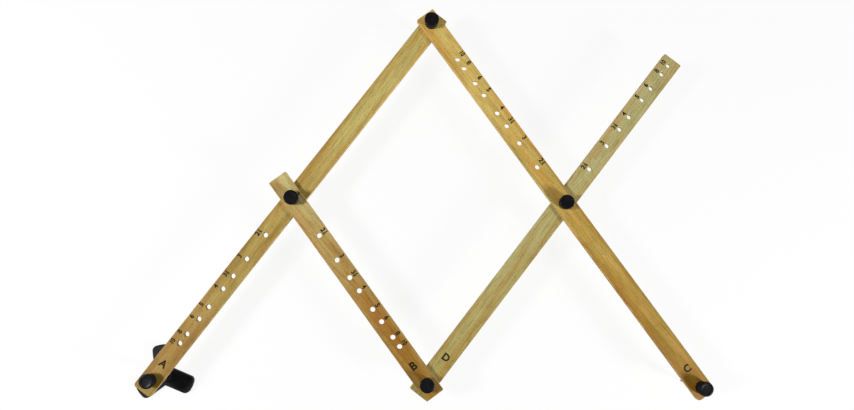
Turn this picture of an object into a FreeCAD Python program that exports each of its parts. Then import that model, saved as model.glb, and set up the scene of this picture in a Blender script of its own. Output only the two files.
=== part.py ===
# Pantograph: four flat beech bars on round knobs, for copying a drawing at another scale
# Millimetres and degrees. The origin is on the table below the pole, +X runs to the lead.

import FreeCAD, Part
import os
import Sketcher

SIZES = {
    # Linkage: pivots at the ends of the long bars, and the scale that is set
    "pivot_span": 420.0,
    "ratio_set": 2.0,
    "fold_angle": 53.13,
    "bar_height": 26.0,
    # Bars, with what each end has beyond its last hole
    "bar_width": 19.0,
    "bar_thick": 4.0,
    "bar_arris": 0.4,
    "pole_overhang": 13.0,
    "apex_overhang": 10.5,
    "apex_underlap": 12.5,
    "lead_overhang": 9.0,
    "tracer_overhang": 13.0,
    "short_overhang": 24.5,
    "scale_overhang": 7.0,
    "round_corner": 3.0,
    "crisp_corner": 1.2,
    "layer_gap": 0.1,
    # Fluted knobs on hexagon inserts
    "knob_height": 8.0,
    "knob_top": 13.5,
    "knob_foot": 12.0,
    "knob_rim": 0.8,
    "knob_dish": 8.6,
    "dish_depth": 0.4,
    "flute_count": 15.0,
    "flute_width": 0.9,
    "flute_depth": 0.4,
    "insert_flats": 7.0,
    "insert_thick": 2.8,
    "insert_gap": 0.02,
    # Shoulder screws, whose shanks turn in the holes of the bars
    "shank_width": 4.5,
    "pivot_gap": 0.1,
    "thread_width": 3.5,
    "thread_length": 4.0,
    "thread_gap": 0.05,
    "thread_relief": 1.5,
    "end_play": 0.1,
    # Hexagon nuts under the left and right pivots
    "nut_flats": 8.0,
    "nut_thick": 4.0,
    # Three-armed base and its pad
    "pad_thick": 1.0,
    "pad_inset": 1.0,
    "plate_thick": 4.0,
    "base_reach": 29.0,
    "arm_width": 17.5,
    "arm_corner": 4.5,
    "arm_root": 2.5,
    "base_edge": 0.6,
    "base_turn": 97.7,
    "hub_width": 14.0,
    "hub_rise": 4.0,
    # Post of the pole, and the screw that holds it from below
    "post_width": 8.0,
    "collar_width": 12.0,
    "collar_thick": 1.5,
    "seat_gap": 0.03,
    "sunk_head": 7.0,
    "sunk_depth": 1.8,
    "sunk_gap": 0.1,
    "base_screw_reach": 7.0,
    # Gliding foot under the apex
    "foot_width": 7.6,
    "foot_end": 6.4,
    "foot_bevel": 1.5,
    "glide_rise": 2.2,
    "glide_width": 6.0,
    "stem_width": 3.0,
    "stem_length": 5.0,
    # Tracer
    "tracer_width": 8.0,
    "tracer_nose": 4.0,
    "nose_rise": 9.0,
    "cone_length": 5.0,
    "pin_width": 2.0,
    "pin_depth": 9.0,
    "pin_taper": 5.0,
    "pin_tip": 0.5,
    # Lead holder, clamp ring and lead
    "holder_width": 8.0,
    "spigot_width": 5.6,
    "spigot_top": 20.0,
    "jaw_top": 15.0,
    "jaw_end": 7.0,
    "jaw_nose": 3.4,
    "jaw_slit": 0.5,
    "slit_top": 18.0,
    "ring_width": 8.6,
    "ring_room": 0.4,
    "jaw_show": 7.0,
    "ring_gap": 0.06,
    "grip_count": 14.0,
    "grip_width": 0.8,
    "grip_depth": 0.35,
    "lead_width": 2.0,
    "lead_gap": 0.05,
    "lead_length": 17.5,
    "lead_taper": 4.0,
    "lead_tip": 0.6,
}

# Scale marks on every bar: the free marks, and the one that holds the pivot now
FREE_MARKS = ("10", "8", "6", "5", "4", "3.5", "3", "2.5")

doc = FreeCAD.newDocument("pantograph")
sheet = doc.addObject("Spreadsheet::Sheet", "dims")
for row, (alias, number) in enumerate(SIZES.items(), start=1):
    sheet.set(f"A{row}", alias)
    sheet.set(f"B{row}", str(number))
    sheet.setAlias(f"B{row}", alias)
doc.recompute()


def named(text):
    """Expression over the sheet, from a text that names sizes in braces."""
    return text.replace("{", "dims.").replace("}", "")


def number_of(text):
    """Number that such a text stands for now."""
    return float(sheet.evalExpression(named(text)))


# Heights of the layers and the places of the six pivots, as texts

LOWER_TOP = "({bar_height} + {bar_thick})"
UPPER_BASE = "({bar_height} + {bar_thick} + {layer_gap})"
UPPER_TOP = "({bar_height} + 2 * {bar_thick} + {layer_gap})"
PLATE_TOP = "({pad_thick} + {plate_thick})"
HUB_TOP = "({pad_thick} + {plate_thick} + {hub_rise})"

ALONG_X = "cos({fold_angle})"
ALONG_Y = "sin({fold_angle})"
SIDE = "({pivot_span} / {ratio_set})"

POLE = ("0", "0")
LEFT = (f"{SIDE} * {ALONG_X}", f"{SIDE} * {ALONG_Y}")
APEX = (f"{{pivot_span}} * {ALONG_X}", f"{{pivot_span}} * {ALONG_Y}")
TRACER = (f"2 * {SIDE} * {ALONG_X}", "0")
RIGHT = (
    f"({{pivot_span}} + {SIDE}) * {ALONG_X}",
    f"({{pivot_span}} - {SIDE}) * {ALONG_Y}",
)
LEAD = (f"2 * {{pivot_span}} * {ALONG_X}", "0")

pieces = []


def new_body(label, spot, height, turn="0"):
    """Body placed at a spot and a height, turned about its own vertical axis."""
    body = doc.addObject("PartDesign::Body", label)
    body.Label = label
    pieces.append(body)
    move = f"create(<<vector>>; {spot[0]}; {spot[1]}; {height})"
    spin = f"create(<<rotation>>; create(<<vector>>; 0; 0; 1); {turn})"
    body.setExpression("Placement", named(f"create(<<placement>>; {move}; {spin})"))
    return body


def new_sketch(body, name, plane="XY_Plane", height="0"):
    """Sketch on one of the body's origin planes, lifted along its normal."""
    sketch = body.newObject("Sketcher::SketchObject", name)
    base = [item for item in body.Origin.OriginFeatures if item.Role == plane][0]
    sketch.AttachmentSupport = [(base, "")]
    sketch.MapMode = "FlatFace"
    sketch.setExpression("AttachmentOffset.Base.z", named(height))
    return sketch


def constrain(sketch, text, kind, *where):
    """Constraint of one size, tied to the sheet."""
    index = sketch.addConstraint(Sketcher.Constraint(kind, *where, number_of(text)))
    sketch.setExpression(f"Constraints[{index}]", named(text))


def pin_point(sketch, geometry, end, spot):
    """Hold a point of the sketch at a spot, on an axis where a coordinate is 0."""
    for text, kind, axis in ((spot[0], "DistanceX", -2), (spot[1], "DistanceY", -1)):
        if text == "0":
            sketch.addConstraint(
                Sketcher.Constraint("PointOnObject", geometry, end, axis)
            )
        else:
            constrain(sketch, text, kind, -1, 1, geometry, end)


def add_loop(sketch, spots):
    """Closed loop of straight lines through spots."""
    points = [FreeCAD.Vector(number_of(x), number_of(y), 0) for x, y in spots]
    first = sketch.GeometryCount
    for start, end in zip(points, points[1:] + points[:1]):
        sketch.addGeometry(Part.LineSegment(start, end), False)
    for index, spot in enumerate(spots):
        after = first + (index + 1) % len(spots)
        sketch.addConstraint(
            Sketcher.Constraint("Coincident", first + index, 2, after, 1)
        )
        pin_point(sketch, first + index, 1, spot)


def add_circle(sketch, spot, width):
    """Circle of a width about a spot."""
    centre = FreeCAD.Vector(number_of(spot[0]), number_of(spot[1]), 0)
    circle = Part.Circle(centre, FreeCAD.Vector(0, 0, 1), number_of(width) / 2)
    index = sketch.addGeometry(circle, False)
    pin_point(sketch, index, 3, spot)
    constrain(sketch, width, "Diameter", index)


def add_hexagon(sketch, flats):
    """Hexagon about the origin, with two flats square to Y."""
    half = f"({flats}) / 2"
    corner = f"({flats}) / sqrt(3)"
    short = f"({flats}) / (2 * sqrt(3))"
    add_loop(
        sketch,
        [
            (corner, "0"),
            (short, half),
            (f"-{short}", half),
            (f"-{corner}", "0"),
            (f"-{short}", f"-{half}"),
            (short, f"-{half}"),
        ],
    )


def add_feature(body, kind, name, sketch, **sizes):
    """Feature made from a sketch, with its sizes tied to the sheet."""
    feature = body.newObject(f"PartDesign::{kind}", name)
    feature.Profile = sketch
    for prop, text in sizes.items():
        feature.setExpression(prop, named(text))
    return feature


def turned(body, name, spots, kind="Revolution"):
    """Solid, or cut, of a profile of (radius, height) spots turned about Z."""
    sketch = new_sketch(body, f"{name}_profile", "XZ_Plane")
    add_loop(sketch, spots)
    feature = add_feature(body, kind, name, sketch)
    feature.ReferenceAxis = (sketch, ["V_Axis"])
    feature.Angle = 360
    return feature


def around(body, name, original, count):
    """Copies of a feature spread evenly about the body's own Z axis."""
    axis = [item for item in body.Origin.OriginFeatures if item.Role == "Z_Axis"][0]
    pattern = body.newObject("PartDesign::PolarPattern", name)
    pattern.Originals = [original]
    pattern.Axis = (axis, [""])
    pattern.Angle = 360
    pattern.setExpression("Occurrences", named(count))
    body.Tip = pattern
    return pattern


def edges_where(shape, test):
    """Names of the edges whose middle point and direction pass a test."""
    names = []
    for index, edge in enumerate(shape.Edges, start=1):
        middle = edge.valueAt((edge.FirstParameter + edge.LastParameter) / 2)
        if test(edge, middle):
            names.append(f"Edge{index}")
    return names


def is_upright(edge):
    """Whether an edge is a straight line along Z."""
    if not isinstance(edge.Curve, Part.Line):
        return False
    return abs(edge.Curve.Direction.z) > 0.999


def dress(body, kind, name, test, prop, text):
    """Fillet or chamfer on the edges of the body's last feature that pass a test."""
    doc.recompute()
    base = body.Tip
    feature = body.newObject(f"PartDesign::{kind}", name)
    feature.Base = (base, edges_where(base.Shape, test))
    feature.setExpression(prop, named(text))
    return feature


def bar(label, spot, height, turn, near, far, near_corner, far_corner, holes):
    """Flat bar along its own X axis, from its first hole at the origin."""
    body = new_body(label, spot, height, turn)
    half = "{bar_width} / 2"
    near_end = f"-({near})"
    outline = new_sketch(body, f"{label}_outline")
    add_loop(
        outline,
        [(near_end, f"-{half}"), (far, f"-{half}"), (far, half), (near_end, half)],
    )
    add_feature(body, "Pad", f"{label}_board", outline, Length="{bar_thick}")
    middle = number_of(far) / 2
    dress(body, "Fillet", f"{label}_near_corners",
          lambda edge, point: is_upright(edge) and point.x < middle,
          "Radius", near_corner)
    dress(body, "Fillet", f"{label}_far_corners",
          lambda edge, point: is_upright(edge) and point.x > middle,
          "Radius", far_corner)
    thick = number_of("{bar_thick}")
    dress(body, "Chamfer", f"{label}_arris",
          lambda edge, point: min(abs(point.z), abs(point.z - thick)) < 0.001,
          "Size", "{bar_arris}")
    drilling = new_sketch(body, f"{label}_drilling")
    for place in holes:
        add_circle(drilling, (place, "0"), "{shank_width} + 2 * {pivot_gap}")
    holes_cut = add_feature(body, "Pocket", f"{label}_holes", drilling)
    holes_cut.Type = "ThroughAll"
    holes_cut.Reversed = True
    return body


def scale_places(form):
    """Hole places at every free mark and at the mark in use, by a formula."""
    marks = list(FREE_MARKS) + ["{ratio_set}"]
    return [form.format(mark=mark) for mark in marks]


def make_bars():
    """The four bars: A and D in the lower layer, B and C in the upper one."""
    from_end = scale_places("{{pivot_span}} / {mark}")
    from_tracer = scale_places("{{pivot_span}} * (1 - 1 / {mark})")
    bar("bar_a", POLE, "{bar_height}", "{fold_angle}",
        "{pole_overhang}", "{pivot_span} + {apex_underlap}",
        "{round_corner}", "{crisp_corner}",
        ["0", "{pivot_span}"] + from_end)
    bar("bar_b", TRACER, UPPER_BASE, "180 - {fold_angle}",
        "{tracer_overhang}", f"{SIDE} + {{short_overhang}}",
        "{crisp_corner}", "{crisp_corner}",
        ["0"] + from_end)
    bar("bar_c", APEX, UPPER_BASE, "-{fold_angle}",
        "{apex_overhang}", "{pivot_span} + {lead_overhang}",
        "{crisp_corner}", "{round_corner}",
        ["0", "{pivot_span}"] + from_end)
    bar("bar_d", TRACER, "{bar_height}", "{fold_angle}",
        "{tracer_overhang}", "{pivot_span} * (1 - 1 / 10) + {scale_overhang}",
        "{crisp_corner}", "{crisp_corner}",
        ["0"] + from_tracer)


def grooves(body, name, foot, head, low, high, depth, width, count):
    """Flat-bottomed grip grooves down a round side, from its foot to its head radius."""
    sketch = new_sketch(body, f"{name}_outline", "XZ_Plane")
    add_loop(sketch, [
        (f"{foot} - {depth}", low),
        (f"{foot} + {depth}", low),
        (f"{head} + {depth}", high),
        (f"{head} - {depth}", high),
    ])
    cut = add_feature(body, "Pocket", name, sketch, Length=width)
    cut.Midplane = True
    around(body, f"{name}_ring", cut, count)


def knob(label, spot, top):
    """Grooved knob, a little narrower at its foot, with a hexagon seat below."""
    body = new_body(label, spot, f"{top} + {{end_play}}")
    floor = "{knob_height} - {dish_depth}"
    side_top = "({knob_height} - {knob_rim})"
    turned(body, f"{label}_form", [
        ("0", "0"),
        ("{knob_foot} / 2", "0"),
        ("{knob_top} / 2", side_top),
        ("{knob_top} / 2 - {knob_rim}", "{knob_height}"),
        ("{knob_dish} / 2", "{knob_height}"),
        ("{knob_dish} / 2 - {dish_depth}", floor),
        ("0", floor),
    ])
    grooves(body, f"{label}_grip", "{knob_foot} / 2", "{knob_top} / 2", "0", side_top,
            "{flute_depth}", "{flute_width}", "{flute_count}")
    seat = new_sketch(body, f"{label}_seat_outline")
    add_hexagon(seat, "{insert_flats} + 2 * {insert_gap}")
    cut = add_feature(body, "Pocket", f"{label}_seat", seat, Length="{insert_thick}")
    cut.Reversed = True
    return body


def shoulder_screw(label, spot, top, grip):
    """Screw moulded into a knob: hexagon head, plain shank, threaded end."""
    body = new_body(label, spot, f"{top} + {{end_play}}")
    head = new_sketch(body, f"{label}_head_outline")
    add_hexagon(head, "{insert_flats}")
    add_feature(body, "Pad", f"{label}_head", head, Length="{insert_thick}")
    shoulder = f"-({grip} + {{end_play}})"
    end = f"-({grip} + {{end_play}} + {{thread_length}})"
    turned(body, f"{label}_shank", [
        ("0", "{insert_thick} / 2"),
        ("{shank_width} / 2", "{insert_thick} / 2"),
        ("{shank_width} / 2", shoulder),
        ("{thread_width} / 2", shoulder),
        ("{thread_width} / 2", end),
        ("0", end),
    ])
    return body


def hexagon_nut(label, spot):
    """Hexagon nut that closes a pivot from below."""
    body = new_body(label, spot, "{bar_height} - {nut_thick}")
    outline = new_sketch(body, f"{label}_outline")
    add_hexagon(outline, "{nut_flats}")
    add_circle(outline, ("0", "0"), "{thread_width} + 2 * {thread_gap}")
    add_feature(body, "Pad", f"{label}_form", outline, Length="{nut_thick}")
    return body


def make_fasteners():
    """Knobs and their screws at the six pivots, with the two nuts."""
    two_bars = "2 * {bar_thick} + {layer_gap}"
    one_bar = "{bar_thick}"
    stacks = {
        "pole": (POLE, LOWER_TOP, one_bar),
        "left": (LEFT, UPPER_TOP, two_bars),
        "apex": (APEX, UPPER_TOP, two_bars),
        "right": (RIGHT, UPPER_TOP, two_bars),
        "tracer": (TRACER, UPPER_TOP, two_bars),
        "lead": (LEAD, UPPER_TOP, one_bar),
    }
    for name, (spot, top, grip) in stacks.items():
        knob(f"knob_{name}", spot, top)
        shoulder_screw(f"screw_{name}", spot, top, grip)
    hexagon_nut("nut_left", LEFT)
    hexagon_nut("nut_right", RIGHT)


def three_arms(body, name, inset, thick):
    """Plate of three arms with arched tips, rounded at the tips and the roots."""
    reach = f"({{base_reach}} - {inset})"
    half = f"({{arm_width}} / 2 - {inset})"
    tip_x = f"sqrt({reach}^2 - {half}^2)"
    sketch = new_sketch(body, f"{name}_arm_outline")
    x, y, r = number_of(tip_x), number_of(half), number_of(reach)
    lines = [((0, -y), (x, -y)), ((x, y), (0, y)), ((0, y), (0, -y))]
    for start, end in lines:
        sketch.addGeometry(
            Part.LineSegment(FreeCAD.Vector(*start, 0), FreeCAD.Vector(*end, 0)), False
        )
    tip = Part.Arc(
        FreeCAD.Vector(x, -y, 0), FreeCAD.Vector(r, 0, 0), FreeCAD.Vector(x, y, 0)
    )
    arc = sketch.addGeometry(tip, False)
    joins = [(0, 2, arc, 1), (arc, 2, 1, 1), (1, 2, 2, 1), (2, 2, 0, 1)]
    for join in joins:
        sketch.addConstraint(Sketcher.Constraint("Coincident", *join))
    sketch.addConstraint(Sketcher.Constraint("Coincident", arc, 3, -1, 1))
    pin_point(sketch, 0, 1, ("0", f"-{half}"))
    pin_point(sketch, 1, 2, ("0", half))
    sketch.addConstraint(Sketcher.Constraint("Horizontal", 0))
    sketch.addConstraint(Sketcher.Constraint("Horizontal", 1))
    constrain(sketch, reach, "Radius", arc)
    arm = add_feature(body, "Pad", f"{name}_arm", sketch, Length=thick)
    around(body, f"{name}_arms", arm, "3")
    span = number_of(reach)
    dress(body, "Fillet", f"{name}_tips",
          lambda edge, point: is_upright(edge) and point.Length > 0.7 * span,
          "Radius", f"{{arm_corner}} - {inset}")
    dress(body, "Fillet", f"{name}_roots",
          lambda edge, point: is_upright(edge) and point.Length < 0.6 * span
          and isinstance(edge.Curve, Part.Line) and point.Length > 0.2 * span,
          "Radius", f"{{arm_root}} + {inset}")


def make_base():
    """Pad, plate with hub, post of the pole and the screw through the plate."""
    pad = new_body("base_pad", POLE, "0", "{base_turn}")
    three_arms(pad, "base_pad", "{pad_inset}", "{pad_thick}")

    base = new_body("pole_base", POLE, "{pad_thick}", "{base_turn}")
    three_arms(base, "pole_base", "0", "{plate_thick}")
    top = number_of("{plate_thick}")
    dress(base, "Chamfer", "pole_base_edge",
          lambda edge, point: abs(point.z - top) < 0.001
          and edge.BoundBox.ZLength < 0.001,
          "Size", "{base_edge}")
    hub = new_sketch(base, "pole_base_hub_outline")
    add_circle(hub, ("0", "0"), "{hub_width}")
    add_feature(base, "Pad", "pole_base_hub", hub, Length="{plate_thick} + {hub_rise}")
    socket = new_sketch(
        base, "pole_base_socket_outline", height="{plate_thick} + {hub_rise}"
    )
    add_circle(socket, ("0", "0"), "{post_width} + 2 * {seat_gap}")
    add_feature(base, "Pocket", "pole_base_socket", socket, Length="{hub_rise}")
    turned(base, "pole_base_sunk_hole", [
        ("0", "0"),
        ("{sunk_head} / 2 + {sunk_gap}", "0"),
        ("{thread_width} / 2 + {sunk_gap}", "{sunk_depth}"),
        ("{thread_width} / 2 + {sunk_gap}", "{plate_thick}"),
        ("0", "{plate_thick}"),
    ], kind="Groove")

    post = new_body("pole_post", POLE, PLATE_TOP)
    height = f"({{bar_height}} - {PLATE_TOP})"
    bore = "{thread_width} / 2 + {thread_gap}"
    collar_end = "{hub_rise} + {collar_thick}"
    turned(post, "pole_post_form", [
        (bore, "0"),
        ("{post_width} / 2", "0"),
        ("{post_width} / 2", "{hub_rise}"),
        ("{collar_width} / 2", "{hub_rise}"),
        ("{collar_width} / 2", collar_end),
        ("{post_width} / 2", collar_end),
        ("{post_width} / 2", height),
        (bore, height),
        (bore, f"{height} - {{thread_length}} - {{thread_relief}}"),
        ("0", f"{height} - {{thread_length}} - {{thread_relief}}"),
        ("0", "{base_screw_reach} + {thread_relief}"),
        (bore, "{base_screw_reach} + {thread_relief}"),
    ])

    screw = new_body("base_screw", POLE, "{pad_thick}")
    turned(screw, "base_screw_form", [
        ("0", "0"),
        ("{sunk_head} / 2", "0"),
        ("{thread_width} / 2", "{sunk_depth}"),
        ("{thread_width} / 2", "{plate_thick} + {base_screw_reach}"),
        ("0", "{plate_thick} + {base_screw_reach}"),
    ])


def socket_spots(height):
    """Upper end of a turned pillar: the blind hole for a shoulder screw."""
    bore = "{thread_width} / 2 + {thread_gap}"
    floor = f"{height} - {{thread_length}} - {{thread_relief}}"
    return [(bore, height), (bore, floor)]


def make_foot():
    """Pillar under the apex with a domed glide pressed into it."""
    pillar = new_body("foot_pillar", APEX, "{glide_rise}")
    height = "({bar_height} - {glide_rise})"
    stem = "{stem_width} / 2 + {seat_gap}"
    turned(pillar, "foot_pillar_form", [
        (stem, "0"),
        ("{foot_end} / 2", "0"),
        ("{foot_width} / 2", "{foot_bevel}"),
        ("{foot_width} / 2", height),
    ] + socket_spots(height) + [
        ("0", f"{height} - {{thread_length}} - {{thread_relief}}"),
        ("0", "{stem_length}"),
        (stem, "{stem_length}"),
    ])

    glide = new_body("foot_glide", APEX, "0")
    turned(glide, "foot_glide_form", [
        ("0", "0"),
        ("{glide_width} / 6", "0"),
        ("{glide_width} / 2.4", "{glide_rise} / 3"),
        ("{glide_width} / 2", "{glide_rise}"),
        ("{stem_width} / 2", "{glide_rise}"),
        ("{stem_width} / 2", "{glide_rise} + {stem_length}"),
        ("0", "{glide_rise} + {stem_length}"),
    ])


def make_tracer():
    """Holder with a tapered nose and the steel pin that follows the drawing."""
    holder = new_body("tracer_holder", TRACER, "{nose_rise}")
    height = "({bar_height} - {nose_rise})"
    pin = "{pin_width} / 2 + {seat_gap}"
    turned(holder, "tracer_holder_form", [
        (pin, "0"),
        ("{tracer_nose} / 2", "0"),
        ("{tracer_width} / 2", "{cone_length}"),
        ("{tracer_width} / 2", height),
    ] + socket_spots(height) + [
        ("0", f"{height} - {{thread_length}} - {{thread_relief}}"),
        ("0", "{pin_depth}"),
        (pin, "{pin_depth}"),
    ])

    point = new_body("tracer_pin", TRACER, "0")
    turned(point, "tracer_pin_form", [
        ("0", "0"),
        ("{pin_tip} / 2", "0"),
        ("{pin_width} / 2", "{pin_taper}"),
        ("{pin_width} / 2", "{nose_rise} + {pin_depth}"),
        ("0", "{nose_rise} + {pin_depth}"),
    ])


def make_lead():
    """Holder with four slit jaws, the ring that closes them, and the lead."""
    holder = new_body("lead_holder", LEAD, "0")
    bore = "{lead_width} / 2 + {lead_gap}"
    thread = "{thread_width} / 2 + {thread_gap}"
    floor = f"{UPPER_BASE} - {{thread_length}} - 2 * {{thread_relief}}"
    turned(holder, "lead_holder_form", [
        (bore, "{jaw_end}"),
        ("{jaw_nose} / 2", "{jaw_end}"),
        ("{spigot_width} / 2", "{jaw_top}"),
        ("{spigot_width} / 2", "{spigot_top}"),
        ("{holder_width} / 2", "{spigot_top}"),
        ("{holder_width} / 2", UPPER_BASE),
        (thread, UPPER_BASE),
        (thread, floor),
        (bore, floor),
    ])
    half = "{jaw_slit} / 2"
    for plane in ("XZ_Plane", "YZ_Plane"):
        slit = new_sketch(holder, f"lead_holder_slit_{plane[:2].lower()}", plane)
        add_loop(slit, [
            (f"-{half}", "{jaw_end} / 2"),
            (half, "{jaw_end} / 2"),
            (half, "{slit_top}"),
            (f"-{half}", "{slit_top}"),
        ])
        cut = add_feature(holder, "Pocket", f"lead_holder_cut_{plane[:2].lower()}", slit)
        cut.Type = "ThroughAll"
        cut.Midplane = True

    ring = new_body("lead_clamp", LEAD, "0")
    ring_end = "({jaw_end} + {jaw_show})"
    ring_top = "({spigot_top} - {ring_room})"
    inner = "{spigot_width} / 2 + {ring_gap}"
    nose = (
        "({jaw_nose} + ({spigot_width} - {jaw_nose}) * {jaw_show}"
        " / ({jaw_top} - {jaw_end})) / 2 + 2 * {ring_gap}"
    )
    turned(ring, "lead_clamp_form", [
        (nose, ring_end),
        ("{ring_width} / 2", ring_end),
        ("{ring_width} / 2", ring_top),
        (inner, ring_top),
        (inner, "{jaw_top}"),
    ])
    grooves(ring, "lead_clamp_grip", "{ring_width} / 2", "{ring_width} / 2",
            ring_end, ring_top, "{grip_depth}", "{grip_width}", "{grip_count}")

    lead = new_body("drawing_lead", LEAD, "0")
    turned(lead, "drawing_lead_form", [
        ("0", "0"),
        ("{lead_tip} / 2", "0"),
        ("{lead_width} / 2", "{lead_taper}"),
        ("{lead_width} / 2", "{lead_length}"),
        ("0", "{lead_length}"),
    ])


def check_document():
    """Stop on any object that failed and on any sub-part with no sound solid."""
    for item in doc.Objects:
        if "Invalid" in item.State or "Error" in item.State:
            raise RuntimeError(f"{item.Label}: {item.State}")
    for piece in pieces:
        shape = piece.Shape
        if shape.isNull() or not shape.isValid() or not shape.Solids:
            raise RuntimeError(f"{piece.Label} has no sound solid")


make_base()
make_bars()
make_fasteners()
make_foot()
make_tracer()
make_lead()
doc.recompute()
check_document()

os.makedirs("parts", exist_ok=True)
for piece in pieces:
    piece.Shape.exportStep(f"parts/{piece.Label}.step")
    print(piece.Label, len(piece.Shape.Solids), round(piece.Shape.Volume, 2))
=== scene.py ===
"""Looks of the pantograph: beech bars, printed scales, moulded knobs and turned fittings."""

import math

import bmesh
import bpy
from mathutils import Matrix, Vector


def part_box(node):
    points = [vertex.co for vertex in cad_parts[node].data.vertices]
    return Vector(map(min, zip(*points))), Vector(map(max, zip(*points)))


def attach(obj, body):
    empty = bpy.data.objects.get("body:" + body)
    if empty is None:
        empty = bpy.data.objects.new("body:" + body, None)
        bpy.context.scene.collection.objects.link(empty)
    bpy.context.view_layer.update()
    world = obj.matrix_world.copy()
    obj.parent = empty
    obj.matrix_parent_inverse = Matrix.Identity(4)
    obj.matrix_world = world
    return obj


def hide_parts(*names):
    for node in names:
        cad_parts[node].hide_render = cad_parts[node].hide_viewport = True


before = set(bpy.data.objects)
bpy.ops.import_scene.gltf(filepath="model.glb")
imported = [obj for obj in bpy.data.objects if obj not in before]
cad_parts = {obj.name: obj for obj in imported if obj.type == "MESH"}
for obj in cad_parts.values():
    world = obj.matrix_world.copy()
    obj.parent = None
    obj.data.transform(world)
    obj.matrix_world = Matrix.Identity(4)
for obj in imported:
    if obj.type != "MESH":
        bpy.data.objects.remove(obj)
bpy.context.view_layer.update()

# The pieces are sized in millimetres, and MM turns them into the frame's metres.
MM = 0.001

# Distance between the pivots at the ends of a long bar, and a bar's own sizes.
SPAN = 420.0
BAR_WIDTH = 19.0
BAR_THICK = 4.0
HOLE_RADIUS = 2.35

# Height of the middle of the ink over the wood.
INK_RISE = 0.013

SCALE_MARKS = (10, 8, 6, 5, 4, 3.5, 3, 2.5, 2)
PIVOTS = ("pole", "left", "apex", "right", "tracer", "lead")


def pivot(name):
    """Place of a pivot on the table, in millimetres, from its screw's box."""
    low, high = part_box(f"screw_{name}")
    return (low.x + high.x) / 2 / MM, (low.y + high.y) / 2 / MM


POLE, APEX = pivot("pole"), pivot("apex")
TRACER, LEAD = pivot("tracer"), pivot("lead")
LEAN = math.atan2(APEX[1] - POLE[1], APEX[0] - POLE[0])
LOWER_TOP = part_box("bar_a")[1].z / MM
UPPER_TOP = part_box("bar_b")[1].z / MM


# Hand tools

def only(piece):
    """Leave one object selected and active."""
    if bpy.context.object and bpy.context.object.mode != "OBJECT":
        bpy.ops.object.mode_set(mode="OBJECT")
    bpy.ops.object.select_all(action="DESELECT")
    piece.select_set(True)
    bpy.context.view_layer.objects.active = piece
    return piece


def choose(piece, kind, test):
    """In edit mode, select the vertices, edges or faces that pass a test."""
    modes = {"verts": {"VERT"}, "edges": {"EDGE"}, "faces": {"FACE"}}
    mesh = bmesh.from_edit_mesh(piece.data)
    mesh.select_mode = modes[kind]
    for group in (mesh.verts, mesh.edges, mesh.faces):
        for item in group:
            item.select = False
    for item in getattr(mesh, kind):
        if test(item):
            item.select = True
    mesh.select_flush_mode()
    bmesh.update_edit_mesh(piece.data)


def middle(item):
    """Middle of a face or an edge."""
    places = [vert.co for vert in item.verts]
    return sum(places, Vector()) / len(places)


def edit(piece):
    """Open one object in edit mode."""
    only(piece)
    bpy.ops.object.mode_set(mode="EDIT")
    return piece


def done():
    """Leave edit mode."""
    bpy.ops.object.mode_set(mode="OBJECT")


def settle(piece):
    """Put an object's place, turn and size into its mesh."""
    only(piece)
    bpy.ops.object.transform_apply(location=True, rotation=True, scale=True)
    return piece


def close_up(piece):
    """Merge doubles and turn every face outwards."""
    edit(piece)
    bpy.ops.mesh.select_all(action="SELECT")
    bpy.ops.mesh.remove_doubles(threshold=1e-6)
    bpy.ops.mesh.normals_make_consistent(inside=False)
    done()
    return piece


def soften(piece, width, segments=2, angle=28):
    """Round the hard edges of a piece with a bevel that is applied."""
    only(piece)
    bevel = piece.modifiers.new("soft edges", "BEVEL")
    bevel.width = width * MM
    bevel.segments = segments
    bevel.limit_method = "ANGLE"
    bevel.angle_limit = math.radians(angle)
    bevel.use_clamp_overlap = True
    bpy.ops.object.modifier_apply(modifier=bevel.name)
    return piece


def smooth(piece, angle=35):
    """Smooth shading under an angle, with large flat faces kept flat."""
    only(piece)
    bpy.ops.object.shade_smooth_by_angle(angle=math.radians(angle))
    level = piece.modifiers.new("level faces", "WEIGHTED_NORMAL")
    level.keep_sharp = True
    bpy.ops.object.modifier_apply(modifier=level.name)
    return piece


def cut(piece, cutter, operation="DIFFERENCE"):
    """Take a cutter out of a piece, and throw the cutter away."""
    only(piece)
    boolean = piece.modifiers.new("cut", "BOOLEAN")
    boolean.object = cutter
    boolean.operation = operation
    boolean.solver = "EXACT"
    bpy.ops.object.modifier_apply(modifier=boolean.name)
    bpy.data.objects.remove(cutter)
    return piece


def copy_of(piece, name):
    """A copy with its own mesh."""
    made = piece.copy()
    made.data = piece.data.copy()
    made.name = name
    bpy.context.scene.collection.objects.link(made)
    return made


def join(pieces, name):
    """One piece made of several."""
    only(pieces[0])
    for piece in pieces:
        piece.select_set(True)
    if len(pieces) > 1:
        bpy.ops.object.join()
    pieces[0].name = name
    return pieces[0]


def turned(name, rings, spot=(0, 0), count=64, through=False):
    """A lathe shape: a disc drawn out from ring to ring, each a radius and a height in mm.

    One bored right through starts as an open ring, and its last ring meets the first.
    """
    radius, height = rings[0]
    bpy.ops.object.select_all(action="DESELECT")
    bpy.ops.mesh.primitive_circle_add(
        vertices=count, radius=radius * MM, fill_type="NOTHING" if through else "NGON",
        location=(spot[0] * MM, spot[1] * MM, height * MM),
    )
    piece = bpy.context.object
    piece.name = name
    settle(piece)
    edit(piece)
    bpy.ops.mesh.select_all(action="SELECT")
    for next_radius, next_height in rings[1:] + (rings[:1] if through else []):
        centre = (spot[0] * MM, spot[1] * MM, next_height * MM)
        bpy.ops.mesh.extrude_region_move(
            TRANSFORM_OT_translate={"value": (0, 0, (next_height - height) * MM)}
        )
        share = next_radius / radius
        bpy.ops.transform.resize(value=(share, share, 1), center_override=centre)
        radius, height = next_radius, next_height
    done()
    return close_up(piece)


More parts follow.
